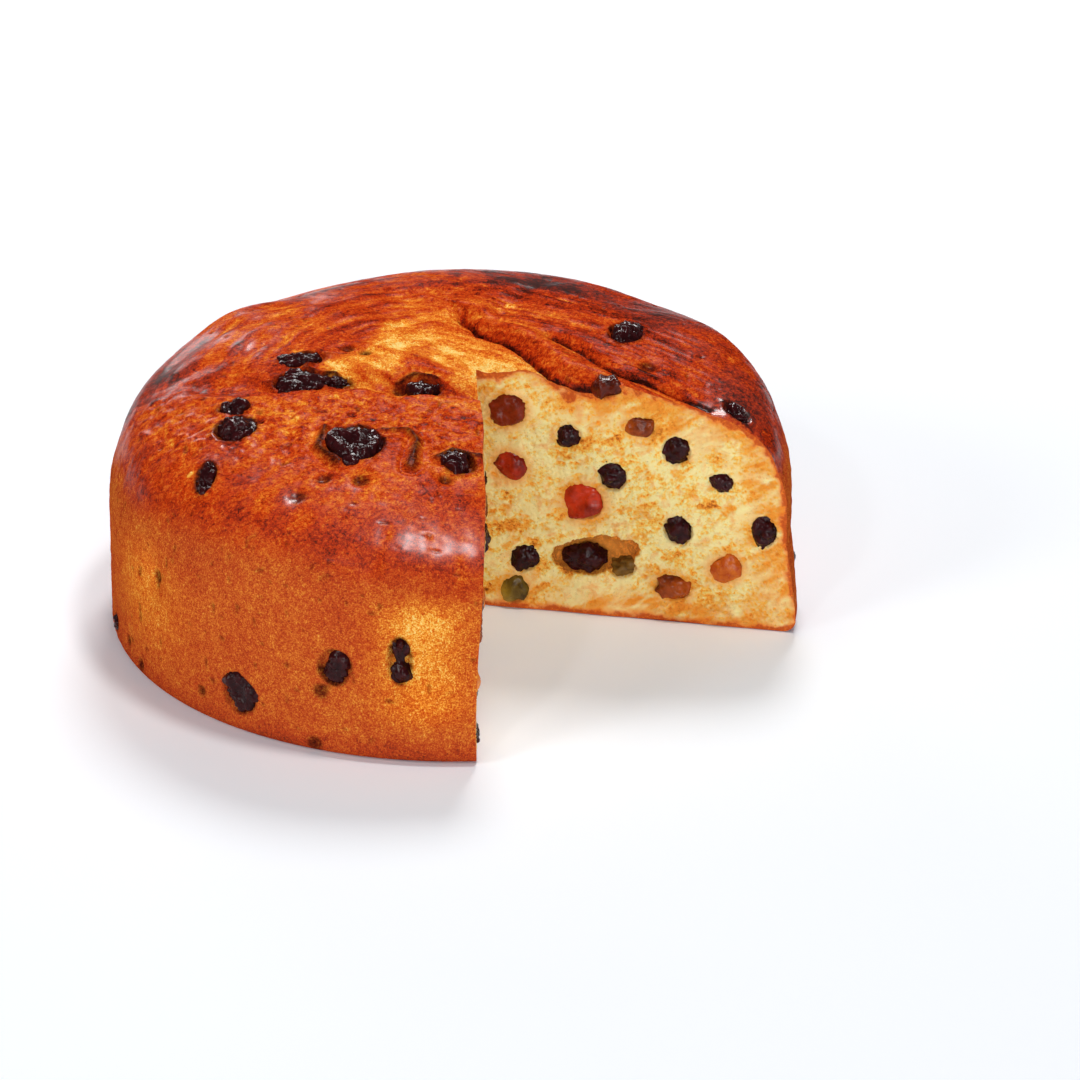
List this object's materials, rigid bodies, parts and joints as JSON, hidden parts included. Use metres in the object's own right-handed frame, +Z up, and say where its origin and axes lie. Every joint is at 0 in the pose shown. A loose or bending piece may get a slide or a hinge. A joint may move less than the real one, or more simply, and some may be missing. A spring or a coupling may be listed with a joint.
{
  "type": "panettone",
  "caption": "Low round sweet bread with a domed crust, raisins and candied fruit, and a wedge cut out that shows the yellow crumb.",
  "frame": {"origin": "middle of the base, on the surface that the loaf stands on", "axes": "+Z up through the crown; one cut face of the missing wedge looks along +X, and the wedge opens towards +X and -Y"},
  "size_m": [0.208, 0.2078, 0.0816],
  "materials": {
    "bread": "browned crust, dull on the side and glossy on the dome, with yellow crumb where cut",
    "raisin": "wrinkled near-black skin with a soft gloss",
    "golden_raisin": "wrinkled brown skin with a soft gloss",
    "candied_dark_red": "moist translucent dark red",
    "candied_red": "moist translucent red",
    "candied_orange": "moist translucent orange",
    "candied_amber": "moist translucent amber",
    "candied_green": "moist translucent olive green"
  },
  "bodies": {
    "root": {"loaf": "bread", "raisin_top_1": "raisin", "raisin_top_2": "raisin", "raisin_top_3": "raisin", "raisin_top_4": "raisin", "raisin_top_5": "raisin", "raisin_top_6": "raisin", "raisin_top_7": "raisin", "raisin_top_8": "raisin", "raisin_top_9": "raisin", "raisin_top_10": "raisin", "raisin_top_11": "raisin", "raisin_side_1": "raisin", "raisin_side_2": "raisin", "raisin_side_3": "raisin", "raisin_side_4": "raisin", "raisin_side_5": "raisin", "raisin_side_6": "raisin", "raisin_side_7": "raisin", "raisin_side_8": "raisin", "raisin_side_9": "raisin", "raisin_side_10": "raisin", "raisin_side_11": "raisin", "raisin_side_12": "raisin", "raisin_far_cut_1": "raisin", "raisin_far_cut_2": "raisin", "raisin_far_cut_3": "raisin", "raisin_far_cut_4": "raisin", "raisin_far_cut_5": "raisin", "golden_raisin_far_cut_1": "golden_raisin", "raisin_far_cut_6": "raisin", "raisin_far_cut_7": "raisin", "raisin_far_cut_8": "raisin", "candied_far_cut_1": "candied_dark_red", "candied_far_cut_2": "candied_red", "candied_far_cut_3": "candied_amber", "candied_far_cut_4": "candied_red", "candied_far_cut_5": "candied_green", "candied_far_cut_6": "candied_dark_red", "candied_far_cut_7": "candied_orange", "candied_far_cut_8": "candied_amber", "raisin_near_cut_1": "raisin", "raisin_near_cut_2": "raisin", "raisin_near_cut_3": "raisin", "raisin_near_cut_4": "raisin", "raisin_near_cut_5": "raisin", "raisin_near_cut_6": "raisin", "raisin_near_cut_7": "raisin", "raisin_near_cut_8": "raisin", "candied_near_cut_1": "candied_amber", "candied_near_cut_2": "candied_red", "candied_near_cut_3": "candied_orange", "candied_near_cut_4": "candied_orange", "candied_near_cut_5": "candied_amber", "candied_near_cut_6": "candied_amber", "candied_near_cut_7": "candied_red", "candied_near_cut_8": "candied_orange"}
  },
  "joints": []
}
